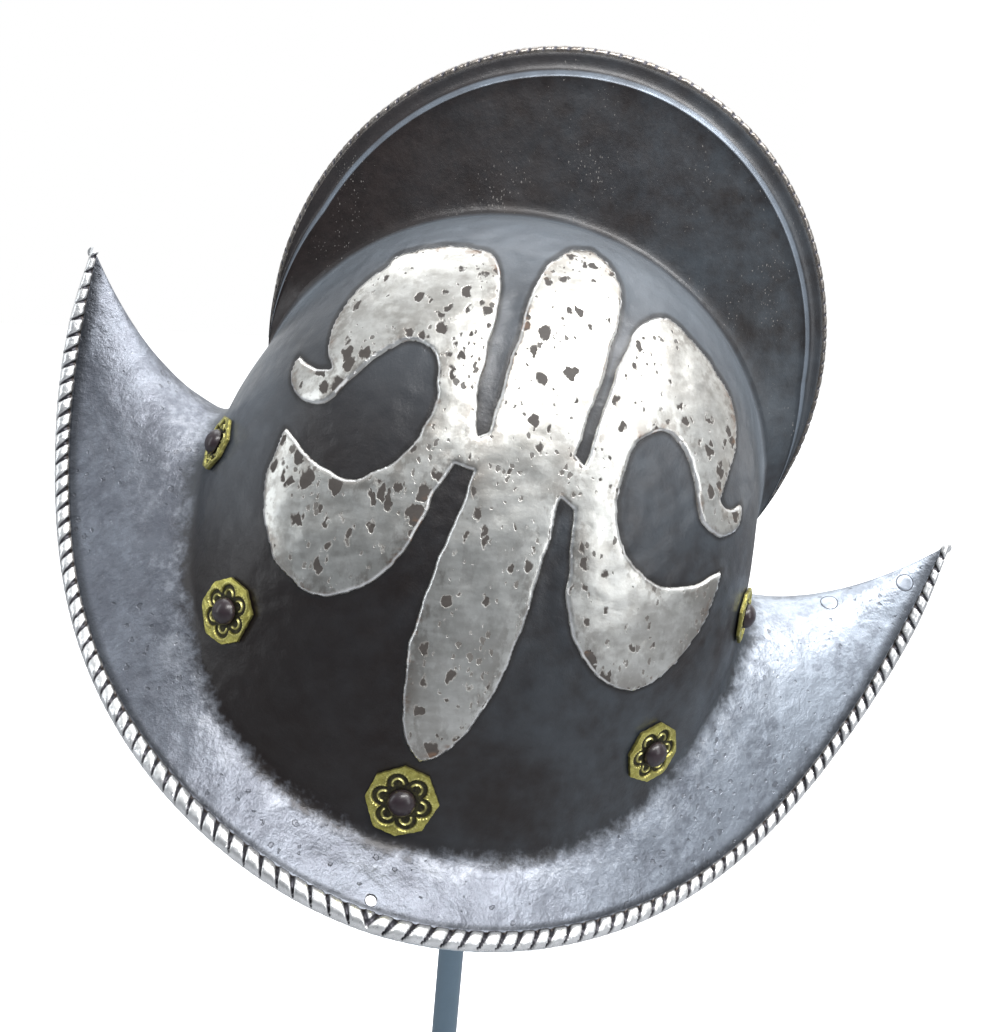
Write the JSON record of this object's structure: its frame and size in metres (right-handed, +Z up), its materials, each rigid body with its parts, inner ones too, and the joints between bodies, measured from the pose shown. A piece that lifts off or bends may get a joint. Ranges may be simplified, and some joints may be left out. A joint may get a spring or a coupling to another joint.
{
  "type": "morion helmet on a post stand",
  "caption": "Comb morion with a peaked, roped brim, raised lilies, brass rosettes and domed rivets, resting tilted on a round-footed post stand.",
  "frame": {"origin": "middle of the stand's underside, on the line of the post", "axes": "+Z up along the post; +X along the helmet's length, towards the lower peak; +Y across the helmet"},
  "size_m": [0.3582, 0.2502, 0.5308],
  "materials": {
    "shell_steel": "blackened steel polished in bands, with bright raised lilies, filed rope edges, pits and light rust",
    "rosette_brass": "aged, hand cut, darker in the recesses",
    "rivet_iron": "black, glossy from handling",
    "plug_steel": "grey steel, flush",
    "stand_steel": "satin grey",
    "pad_rubber": "matt"
  },
  "bodies": {
    "root": {"helmet_shell": "shell_steel", "rosette_01": "rosette_brass", "rosette_02": "rosette_brass", "rosette_03": "rosette_brass", "rosette_04": "rosette_brass", "rosette_05": "rosette_brass", "rosette_06": "rosette_brass", "rosette_07": "rosette_brass", "rosette_08": "rosette_brass", "rosette_09": "rosette_brass", "rosette_10": "rosette_brass", "rivet_01": "rivet_iron", "rivet_02": "rivet_iron", "rivet_03": "rivet_iron", "rivet_04": "rivet_iron", "rivet_05": "rivet_iron", "rivet_06": "rivet_iron", "rivet_07": "rivet_iron", "rivet_08": "rivet_iron", "rivet_09": "rivet_iron", "rivet_10": "rivet_iron", "brim_plug_1": "plug_steel", "brim_plug_2": "plug_steel", "stand_base": "stand_steel", "stand_post": "stand_steel", "stand_pad": "pad_rubber"}
  },
  "joints": []
}
